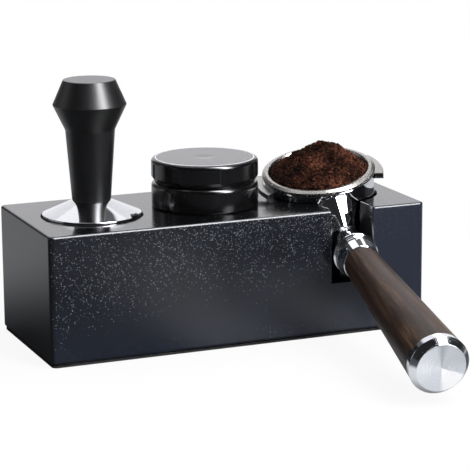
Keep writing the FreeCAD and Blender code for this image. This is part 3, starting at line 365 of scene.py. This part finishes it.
def faced_aluminium(add):
    """Aluminium faced on the lathe, with rings 0.25 mm apart. Its face carries painted highlight and shade
    in wedges round the centre. Its side is smoother, with a painted grey band where it turns up."""
    place = coords(add, HANDLE)
    spot = add("SeparateXYZ", {"Vector": place})
    radius = from_axis(add, place, across=(1, 0, 1))
    ring = add("TexNoise", {"W": radius, "Scale": 1 / (0.25 * MM)}, noise_dimensions="1D")
    turn = add("Math", {0: spot.outputs["Z"], 1: spot.outputs["X"]}, operation="ARCTAN2")
    turn = add("MapRange", {"Value": turn, "From Min": -math.pi, "From Max": math.pi})
    # Painted highlight and shade: white and grey wedges, set by the angle round the handle's axis.
    painted_wedges = add("ValToRGB", {"Fac": turn}, [
        (0.0, "#e2e4e9"), (0.225, "#d6d9df"), (0.262, "#ffffff"), (0.412, "#ffffff"), (0.432, "#c2c5cb"),
        (0.68, "#c5c7cd"), (0.736, "#a6a9af"), (0.78, "#cfd2d7"), (1.0, "#e2e4e9")])
    # Painted shade: a grey band round the side, set by the same angle.
    side = add("ValToRGB", {"Fac": turn}, [
        (0.0, "#d4d6da"), (0.22, "#d4d6da"), (0.28, "#83868c"), (0.40, "#83868c"), (0.46, "#d4d6da")])
    out = add("VectorMath", {0: place, 1: (0, -1, 0)}, operation="DOT_PRODUCT")
    face = add("MapRange", {"Value": out, "From Min": (HANDLE_END - 0.3) * MM,
                            "From Max": (HANDLE_END - 0.1) * MM}, **SMOOTH)
    # The rings run round the handle's axis, so the shine is drawn out across them.
    centre = HANDLE.to_translation()
    axis = HANDLE.to_3x3() @ Vector((0, -1, 0))
    spoke = add("VectorMath", {0: coords(add), 1: centre}, operation="SUBTRACT")
    around = add("VectorMath", {0: spoke, 1: axis}, operation="CROSS_PRODUCT")
    rough = add("MapRange", {"Value": face, "To Min": 0.10, "To Max": 0.26}, **SMOOTH)
    return {"Base Color": add("Mix", {"Factor": face, FIRST: side, SECOND: painted_wedges}, data_type="RGBA"),
            "Metallic": 1.0,
            "Roughness": add("Math", {0: ring, 1: 0.05, 2: rough}, operation="MULTIPLY_ADD"),
            "Anisotropic": add("MapRange", {"Value": face, "To Min": 0.3, "To Max": 0.8}, **SMOOTH),
            "Tangent": around}


def ground_coffee(add):
    """Dark-roasted coffee, coarsely ground: dull red-brown crumbs of 1.8 mm among nearly black ones,
    in 11 mm patches, and painted paler towards the light."""
    place = coords(add)
    crumb = add("TexNoise", {"Vector": place, "Scale": 0.56 / MM, "Roughness": 0.7})
    patch = add("TexNoise", {"Vector": place, "Scale": 0.09 / MM})
    x = add("SeparateXYZ", {"Vector": place}).outputs["X"]
    # Painted light: the heap grows paler towards the right, where the key light falls.
    shade = add("MapRange", {"Value": x, "From Min": 45 * MM, "From Max": 100 * MM,
                             "To Min": -0.015, "To Max": 0.055})
    shade = add("Math", {0: patch, 1: 0.38, 2: shade}, operation="MULTIPLY_ADD")
    shade = add("Math", {0: crumb, 1: 0.62, 2: shade}, operation="MULTIPLY_ADD")
    return {"Base Color": add("ValToRGB", {"Fac": shade}, [
                (0.38, "#060404"), (0.47, "#1e110c"), (0.57, "#462a1f"), (0.68, "#875643")]),
            "Roughness": 0.9, "Specular IOR Level": 0.08,
            "Normal": add("Bump", {"Height": crumb, "Distance": 0.3 * MM})}


MATERIALS = {
    "box_plastic": make_material("moulded_abs_spark_grain", moulded_abs),
    "plate_plastic": make_material("moulded_abs_matt", moulded_cover),
    "mat_rubber": make_material("calendered_rubber", calendered_rubber),
    "fastener_steel": make_material("zinc_plated_steel", zinc_plated_steel),
    "polished_steel": make_material("turned_polished_steel", polished_steel),
    "black_anodised": make_material("black_anodised_aluminium", black_anodised),
    "bare_aluminium": make_material("turned_bare_aluminium", bare_aluminium),
    "chromed_brass": make_material("chromed_cast_brass", chromed_brass),
    "pressed_steel": make_material("deep_drawn_steel", drawn_steel),
    "fibre": make_material("vulcanised_fibre", vulcanised_fibre),
    "walnut": make_material("oiled_turned_walnut", oiled_walnut),
    "turned_aluminium": make_material("faced_aluminium", faced_aluminium),
    "ground_coffee": make_material("dark_ground_coffee", ground_coffee),
}
for node in nodes.values():
    for slot in node.material_slots:
        slot.material = MATERIALS[slot.name]


# Pieces

def lathe(points, steps=160, start=0.0, angle=2 * math.pi):
    """Spins an outline of (radius, height, round) points, in millimetres, about Z."""
    bm = bmesh.new()
    corners = [bm.verts.new((radius, 0, height)) for radius, height, _ in points]
    pairs = list(zip(corners, corners[1:] + corners[:1]))
    if points[0][0] == 0 and points[-1][0] == 0:
        pairs.pop()
    for first, second in pairs:
        bm.edges.new((first, second))
    for corner, (_, _, size) in zip(corners, points):
        if size:
            arms = [edge.other_vert(corner).co - corner.co for edge in corner.link_edges]
            offset = size / math.tan(arms[0].angle(arms[1]) / 2)
            bmesh.ops.bevel(bm, geom=[corner], offset=offset, segments=6, profile=0.5,
                            affect="VERTICES", material=-1)
    bmesh.ops.rotate(bm, verts=bm.verts, matrix=Matrix.Rotation(start, 3, "Z"))
    wire = list(bm.verts) + list(bm.edges)
    bmesh.ops.spin(bm, geom=wire, cent=(0, 0, 0), axis=(0, 0, 1), angle=angle, steps=steps,
                   use_merge=angle > math.pi)
    bmesh.ops.remove_doubles(bm, verts=bm.verts, dist=0.002)
    return bm


def put_together(name, node, slot, parts):
    """One piece from several closed shapes in millimetres, each with its frame."""
    whole = bmesh.new()
    mesh = bpy.data.meshes.new(name)
    for part, place in parts:
        bmesh.ops.recalc_face_normals(part, faces=part.faces)
        part.transform(place @ Matrix.Scale(MM, 4))
        part.to_mesh(mesh)
        part.free()
        whole.from_mesh(mesh)
    for face in whole.faces:
        face.smooth = True
    whole.to_mesh(mesh)
    whole.free()
    mesh.set_sharp_from_angle(angle=math.radians(32))
    mesh.materials.append(MATERIALS[slot])
    piece = bpy.data.objects.new(name, mesh)
    bpy.context.scene.collection.objects.link(piece)
    even = piece.modifiers.new("even_normals", "WEIGHTED_NORMAL")
    even.weight = 90
    even.keep_sharp = True
    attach(piece, "root")
    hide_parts(node)


put_together("tamper_foot", "tamper_base", "polished_steel", [(lathe([
    (0, 0, 0), (29, 0, 0.6), (29, 23.2, 0.6), (GRIP_FOOT_RADIUS, FOOT_HEIGHT, 0), (0, FOOT_HEIGHT, 0)]),
    TAMPER)])
put_together("tamper_handle", "tamper_grip", "black_anodised", [(lathe([
    (0, 0, 0), (GRIP_FOOT_RADIUS, 0, 0.6), (14.4, 41.3, 3), (21.4, 56, 0.6), (15.1, GRIP_HEIGHT, 0.6),
    (0, GRIP_HEIGHT, 0)]), GRIP)])
put_together("distributor_ring", "distributor_collar", "black_anodised", [(lathe([
    (17.1, 0, 0), (DISTRIBUTOR_RADIUS, 0, 1.2), (DISTRIBUTOR_RADIUS, 15, 3), (17.1, 15, 0)], 192), COLLAR)])
put_together("basket_shell", "filter_basket", "pressed_steel", [(lathe([
    (0, -24, 0), (26.4, -24, 1), (30, -14.2, 0), (30, -BASKET_BEAD, 0.3), (34.35, -BASKET_BEAD, 0.3),
    (34.35, -1.3, 0.8), (32.2, 0, 0.8), (30.6, 0, 0.5), (29.1, -2.2, 0.5), (29.1, -14.2, 0),
    (25.5, -23.1, 0), (0, -23.1, 0)], 192), SEAT)])
put_together("ferrule_ring", "handle_ferrule", "chromed_brass", [(lathe([
    (0, 0, 0), (13.1, 0, 0.3), (13.1, 1, 0.3), (12.1, 1.7, 0.2), (12.9, 5.2, 0.3), (12.2, 6, 0.2),
    (11.05, 13.6, 0.3), (WOOD_FRONT_RADIUS, FERRULE_LENGTH, 0), (0, FERRULE_LENGTH, 0)]),
    along_handle(NECK_END))])
put_together("walnut_grip", "handle_wood", "walnut", [(lathe([
    (0, 0, 0), (WOOD_FRONT_RADIUS, 0, 0.1), (WOOD_BACK_RADIUS, WOOD_LENGTH, 0.1), (0, WOOD_LENGTH, 0)]),
    along_handle(NECK_END + FERRULE_LENGTH))])
put_together("end_button", "handle_end_cap", "turned_aluminium", [(lathe([
    (0, 0, 0), (WOOD_BACK_RADIUS, 0, 0.1), (16.96, 4.4, 0.5), (13.84, BUTTON_LENGTH, 0.6),
    (0, BUTTON_LENGTH, 0)]), along_handle(HANDLE_END - BUTTON_LENGTH))])


def soften(bm, edges):
    """Rounds a casting's edges off by 0.45 mm."""
    bmesh.ops.bevel(bm, geom=edges, offset=0.45, segments=3, profile=0.5, affect="EDGES", material=-1,
                    clamp_overlap=True)


def make_ear(start):
    """One locking ear of the cup: a bar that runs an eighth of the way round, its ends rounded off."""
    bm = lathe([(32.1, -7.7, 0), (39.2, -7.7, 0.5), (39.2, -4.3, 0.5), (32.1, -4.3, 0)],
               28, start - math.radians(22.5), math.radians(45))
    bmesh.ops.holes_fill(bm, edges=bm.edges, sides=0)
    soften(bm, [edge for edge in bm.edges if len(edge.link_faces) == 2
                and any(len(face.verts) > 4 for face in edge.link_faces)])
    return bm


def make_gusset():
    """The root of the neck: nine-cornered sections, the tall ones in the cup's wall, the last in
    the round neck."""
    in_cup = [(6.8, -37.1), (11.5, -NECK_DEPTH), (9.5, -9), (6.8, -5.4), (0, -4.6)]
    sections = [
        (29, in_cup),
        (CUP_RADIUS, in_cup),
        (40.5, [(4.6, -37.1), (10, -NECK_DEPTH), (8.2, -16.7), (4.6, -12.7), (0, -11.2)]),
        (41.2, [(4.6, -37), (10, -NECK_DEPTH), (8, -17.6), (2.8, -12.9), (0, -11.9)]),
        (47.5, [(4.6, -36), (9.3, -NECK_DEPTH), (6.6, -21), (2, -18.6), (0, -18)])]
    bm = bmesh.new()
    loops = []
    for distance, half in sections:
        spots = half + [(-x, z) for x, z in reversed(half[:-1])]
        ring = [bm.verts.new((x, -distance, z)) for x, z in spots]
        loops.append([bm.edges.new(pair) for pair in zip(ring, ring[1:] + ring[:1])])
    for first, second in zip(loops, loops[1:]):
        bmesh.ops.bridge_loops(bm, edges=first + second)
    bmesh.ops.holes_fill(bm, edges=bm.edges, sides=0)
    bmesh.ops.recalc_face_normals(bm, faces=bm.faces)
    soften(bm, [edge for edge in bm.edges
                if edge.is_manifold and edge.calc_face_angle() > math.radians(8)])
    return bm


def make_casting():
    """The portafilter's cup, with its rim over a groove, its two ears, its gusset and its neck."""
    cup = lathe([
        (31, -BASKET_BEAD, 0), (32.8, -BASKET_BEAD, 0), (32.8, -3, 0.1), (33.7, -3, 0.1), (34, -3.3, 0.15),
        (34, -4.3, 0.2), (CUP_RADIUS, -5.1, 0.3), (CUP_RADIUS, -CUP_DEPTH, 18), (12.5, -CUP_DEPTH, 0.8),
        (12.5, -41, 0.4), (8.25, -41, 0), (8.25, -34, 0), (16.5, -34, 0), (27, -28, 0), (31, -20, 0)], 192)
    neck_start = 30.0
    neck_length = NECK_END - neck_start
    neck = lathe([(0, 0, 0), (NECK_RADIUS, 0, 0), (NECK_RADIUS, neck_length, 0), (0, neck_length, 0)])
    put_together("portafilter_casting", "portafilter_body", "chromed_brass", [
        (cup, SEAT), (make_ear(0), SEAT), (make_ear(math.pi), SEAT), (make_gusset(), SEAT),
        (neck, along_handle(neck_start))])


make_casting()


# Ground coffee

HEAP_RADIUS = 28.9
HEAP_PEAK = 16.4
HEAP_CENTRE = (6.2, -0.4)
HEAP_SHAPE = 1.32
CRUMBS = 4200


def heap_height(x, y):
    """Height of the heap over the rim's plane, in millimetres: steep, low at the right wall."""
    centre_x, centre_y = HEAP_CENTRE
    run_x, run_y = x - centre_x, y - centre_y
    run = max(math.hypot(run_x, run_y), 1e-6)
    along = (run_x * centre_x + run_y * centre_y) / run
    wall = -along + math.sqrt(along * along - centre_x ** 2 - centre_y ** 2 + HEAP_RADIUS ** 2)
    share = min(run / wall, 1.0)
    shore = -1.3 - 2.1 * math.cos(math.atan2(y, x) - math.radians(45))
    height = shore + (HEAP_PEAK - shore) * (1 - share ** HEAP_SHAPE)
    lumps = noise.noise(Vector((x, y, 0)) * 0.16) * 1.5 + noise.noise(Vector((x, y, 7)) * 0.45) * 0.8
    return height + lumps * min(1.0, 4 * (1 - share))


def make_skin():
    """The heap's rough skin, closed by a block down to the basket's floor."""
    rounds = 56
    skin = lathe([(HEAP_RADIUS * ring / rounds, 0, 0) for ring in range(rounds + 1)]
                 + [(HEAP_RADIUS, -14.4, 0), (25, -22.6, 0), (0, -22.6, 0)], 200)
    for vert in skin.verts:
        x, y, z = vert.co
        if z > -1:
            inside = math.hypot(x, y) < HEAP_RADIUS - 0.1
            rough = 0.45 * noise.noise(Vector((x, y, 3)) * 1.3) if inside else 0
            vert.co.z = heap_height(x, y) + rough
    return skin


def make_crumbs():
    """Loose crumbs over the skin, half sunk in it, each squashed and turned its own way."""
    shape = bmesh.new()
    bmesh.ops.create_icosphere(shape, subdivisions=1, radius=1)
    crumb = bpy.data.meshes.new("crumb")
    shape.to_mesh(crumb)
    shape.free()
    scatter = random.Random(58)
    crumbs = bmesh.new()
    for _ in range(CRUMBS):
        radius = 28.3 * math.sqrt(scatter.random())
        angle = scatter.uniform(0, 2 * math.pi)
        x, y = radius * math.cos(angle), radius * math.sin(angle)
        size = scatter.uniform(0.3, 0.75)
        lift = heap_height(x, y) + size * scatter.uniform(-0.1, 0.5)
        wide, deep, high = scatter.uniform(0.7, 1.3), scatter.uniform(0.7, 1.3), scatter.uniform(0.6, 1)
        squash = Matrix.Diagonal((wide, deep, high, 1))
        turn = Matrix.Rotation(scatter.uniform(0, 6.28), 4, (scatter.random(), scatter.random(), 0.5))
        place = Matrix.Translation((x, y, lift)) @ turn @ squash @ Matrix.Scale(size, 4)
        crumb.transform(place)
        crumbs.from_mesh(crumb)
        crumb.transform(place.inverted())
    bpy.data.meshes.remove(crumb)
    return crumbs


put_together("coffee_heap", "coffee_grounds", "ground_coffee", [
    (make_skin(), SEAT), (make_crumbs(), SEAT)])


# Camera, floor and light

# Level directions from the station to the camera, and to the camera's right.
TO_CAMERA = Vector((-0.386, -0.9225, 0))
TO_RIGHT = Vector((0.9225, -0.386, 0))


def make_camera():
    """The photograph's camera, as fitted to the box's edges, the pockets and the handle."""
    yaw, pitch, roll = 0.3919, 0.2259, -0.0063
    ahead_flat = Vector((math.sin(yaw), math.cos(yaw), 0))
    right_flat = Vector((math.cos(yaw), -math.sin(yaw), 0))
    upright = Vector((0, 0, 1))
    ahead = math.cos(pitch) * ahead_flat - math.sin(pitch) * upright
    up_level = math.cos(pitch) * upright + math.sin(pitch) * ahead_flat
    right = math.cos(roll) * right_flat + math.sin(roll) * up_level
    up = math.cos(roll) * up_level - math.sin(roll) * right_flat
    data = bpy.data.cameras.new("camera")
    data.lens = 164.6
    camera = bpy.data.objects.new("camera", data)
    turn = Matrix((right, up, -ahead)).transposed().to_4x4()
    camera.matrix_world = Matrix.Translation(Vector((-0.46562, -1.16201, 0.34426))) @ turn
    bpy.context.scene.collection.objects.link(camera)
    bpy.context.scene.camera = camera


make_camera()


def studio_paper(add):
    """White seamless paper, matt, whose shadow fades out into an even white for the eye. Bright things
    see it in a painted tone: pale grey behind them, darker towards the camera and nearly white beside the
    handle."""
    path = add("LightPath")
    place = coords(add)
    spot = add("SeparateXYZ", {"Vector": place})
    x, y = spot.outputs["X"], spot.outputs["Y"]
    nearness = add("VectorMath", {0: place, 1: TO_CAMERA}, operation="DOT_PRODUCT")
    nearness = add("MapRange", {"Value": nearness, "From Min": -0.14, "From Max": 0.03}, **SMOOTH)
    off_handle = add("Math", {0: x, 1: 0.035}, operation="SUBTRACT")
    off_handle = add("Math", {0: off_handle}, operation="ABSOLUTE")
    painted_light_column = add("MapRange", {"Value": off_handle, "From Min": 0.04, "From Max": 0.08,
                              "To Min": 1.0, "To Max": 0.0}, **SMOOTH)
    before = add("MapRange", {"Value": y, "From Min": -0.31, "From Max": -0.27}, **SMOOTH)
    behind = add("MapRange", {"Value": y, "From Min": -0.06, "From Max": -0.045,
                              "To Min": 1.0, "To Max": 0.0}, **SMOOTH)
    beside = product(add, painted_light_column, before, behind)
    # Painted shade and light, seen only in reflections: pale grey, darker towards the camera, and a painted
    # near-white pool beside the handle.
    seen = add("Mix", {"Factor": nearness, FIRST: "#c8cacd", SECOND: "#505256"}, data_type="RGBA")
    seen = add("Mix", {"Factor": beside, FIRST: seen, SECOND: "#e8e9eb"}, data_type="RGBA")
    tone = add("Mix", {"Factor": path.outputs["Is Glossy Ray"], FIRST: "#f4f4f4", SECOND: seen},
               data_type="RGBA")
    lit = add("BsdfDiffuse", {"Color": tone})
    white = add("Emission", {"Color": "#ffffff", "Strength": 1.0})
    away = add("VectorMath", {0: place}, operation="LENGTH")
    even = add("MapRange", {"Value": away, "From Min": 0.14, "From Max": 0.32, "To Min": 0.90}, **SMOOTH)
    share = product(add, path.outputs["Is Camera Ray"], even)
    return add("MixShader", {0: share, 1: lit, 2: white})


def make_floor():
    """A plain white floor that keeps the shadow."""
    bm = bmesh.new()
    bmesh.ops.create_grid(bm, x_segments=1, y_segments=1, size=6)
    mesh = bpy.data.meshes.new("floor")
    bm.to_mesh(mesh)
    bm.free()
    mesh.materials.append(make_material("white_studio_paper", studio_paper))
    floor = bpy.data.objects.new("floor", mesh)
    bpy.context.scene.collection.objects.link(floor)


make_floor()


def window(add, way, centre, half_width, half_height, power):
    """A softbox as bright things see it: a rectangle about a direction, from the tangents of half
    its angles."""
    edge = 0.03
    ahead = Vector(centre).normalized()
    side = ahead.cross(Vector((0, 0, 1))).normalized()
    depth = add("VectorMath", {0: way, 1: ahead}, operation="DOT_PRODUCT")
    depth = add("Math", {0: depth, 1: 0.001}, operation="MAXIMUM")
    shares = [add("MapRange", {"Value": depth, "From Min": 0.0, "From Max": 0.05}, **SMOOTH)]
    for axis, half in ((side, half_width), (side.cross(ahead), half_height)):
        off = add("VectorMath", {0: way, 1: axis}, operation="DOT_PRODUCT")
        off = add("Math", {0: off}, operation="ABSOLUTE")
        off = add("Math", {0: off, 1: depth}, operation="DIVIDE")
        shares.append(add("MapRange", {"Value": off, "From Min": half - edge, "From Max": half + edge,
                                       "To Min": 1.0, "To Max": 0.0}, **SMOOTH))
    return product(add, *shares, power)


def make_world():
    """White for the eye. Bright things see a white cove behind them, a strip of light at the left,
    two softboxes, and dark elsewhere."""
    world = bpy.data.worlds.new("studio")
    bpy.context.scene.world = world
    world.use_nodes = True
    world.cycles.sampling_method = "NONE"
    world.node_tree.nodes.clear()
    add = adder(world.node_tree)
    path = add("LightPath")
    way = add("TexCoord").outputs["Generated"]
    level = add("SeparateXYZ", {"Vector": way}).outputs["Z"]
    right = add("VectorMath", {0: way, 1: TO_RIGHT}, operation="DOT_PRODUCT")
    aside = add("Math", {0: right}, operation="ABSOLUTE")

    # The cove: two white wings, and between them a bright slot that the neck and the gusset catch.
    behind = add("VectorMath", {0: way, 1: -TO_CAMERA}, operation="DOT_PRODUCT")
    behind = add("MapRange", {"Value": behind, "From Min": 0.30, "From Max": 0.50}, **SMOOTH)
    wing_height = add("MapRange", {"Value": level, "From Min": 0.66, "From Max": 0.80,
                                   "To Min": 1.18, "To Max": 0.3}, **SMOOTH)
    left_end = add("MapRange", {"Value": right, "From Min": -0.48, "From Max": -0.42,
                                "To Min": 0.1}, **SMOOTH)
    right_end = add("MapRange", {"Value": right, "From Min": 0.29, "From Max": 0.34,
                                 "To Min": 1.0, "To Max": 0.1}, **SMOOTH)
    wings = product(add, wing_height, left_end, right_end)
    slot = add("MapRange", {"Value": level, "From Min": 0.54, "From Max": 0.60,
                            "To Min": 3.5, "To Max": 0.4}, **SMOOTH)
    middle = add("MapRange", {"Value": aside, "From Min": 0.10, "From Max": 0.16,
                              "To Min": 1.0, "To Max": 0.0}, **SMOOTH)
    high = add("MapRange", {"Value": level, "From Min": 0.36, "From Max": 0.40}, **SMOOTH)
    cove = add("MapRange", {"Value": product(add, middle, high), "To Min": wings, "To Max": slot})
    cove = product(add, behind, cove)

    # A strip of light at the far left, which the box's end and the handles catch.
    left = add("VectorMath", {0: way, 1: -TO_RIGHT}, operation="DOT_PRODUCT")
    left = add("MapRange", {"Value": left, "From Min": 0.86, "From Max": 0.93}, **SMOOTH)
    foot = add("MapRange", {"Value": level, "From Min": -0.1, "From Max": 0.0}, **SMOOTH)
    head = add("MapRange", {"Value": level, "From Min": 0.4, "From Max": 0.5,
                            "To Min": 1.0, "To Max": 0.0}, **SMOOTH)
    strip = product(add, left, foot, head, 0.7)

    # The dark gap between the cove and the softbox overhead, which the tamper's cone mirrors.
    gap_left = add("MapRange", {"Value": right, "From Min": -0.11, "From Max": -0.08}, **SMOOTH)
    gap_right = add("MapRange", {"Value": right, "From Min": 0.17, "From Max": 0.20,
                                 "To Min": 1.0, "To Max": 0.0}, **SMOOTH)
    gap_foot = add("MapRange", {"Value": level, "From Min": 0.70, "From Max": 0.74}, **SMOOTH)
    gap_head = add("MapRange", {"Value": level, "From Min": 0.91, "From Max": 0.93,
                                "To Min": 1.0, "To Max": 0.0}, **SMOOTH)
    gap = product(add, gap_left, gap_right, gap_foot, gap_head)
    open_sky = add("MapRange", {"Value": gap, "To Min": 1.0, "To Max": 0.1})

    key = window(add, way, (0.364, -0.606, 0.707), 0.165, 0.577, 26.0)
    above = window(add, way, (0.12, 0.275, 0.952), 0.62, 0.60, 1.5)
    power = add("Math", {0: cove, 1: strip}, operation="MAXIMUM")
    power = add("Math", {0: power, 1: key}, operation="MAXIMUM")
    power = add("Math", {0: power, 1: above}, operation="MAXIMUM")
    power = add("Math", {0: power, 1: open_sky, 2: 0.025}, operation="MULTIPLY_ADD")
    seen = add("Background", {"Color": "#fbfbff", "Strength": power})
    soft = add("Background", {"Color": "#ffffff", "Strength": 0.38})
    white = add("Background", {"Color": "#ffffff", "Strength": 1.0})
    glossy = add("MixShader", {0: path.outputs["Is Glossy Ray"], 1: soft, 2: seen})
    mix = add("MixShader", {0: path.outputs["Is Camera Ray"], 1: glossy, 2: white})
    add("OutputWorld", {"Surface": mix})


make_world()


def softbox(name, place, aim, width, height, radiance):
    """A rectangular soft light for dull surfaces. Its power follows from its size and brightness."""
    data = bpy.data.lights.new(name, "AREA")
    data.shape = "RECTANGLE"
    data.size, data.size_y = width, height
    data.energy = radiance * math.pi * width * height
    lamp = bpy.data.objects.new(name, data)
    lamp.location = place
    lamp.rotation_euler = (Vector(aim) - Vector(place)).to_track_quat("-Z", "Y").to_euler()
    lamp.visible_glossy = False
    bpy.context.scene.collection.objects.link(lamp)


softbox("key_light", (0.4345, -0.904, 0.903), (0, 0, 0.08), 0.42, 1.3, 8)
softbox("top_light", (0.12, 0.30, 1.15), (0, 0, 0.08), 1.7, 0.9, 1.5)

bpy.context.scene.view_settings.view_transform = "Standard"
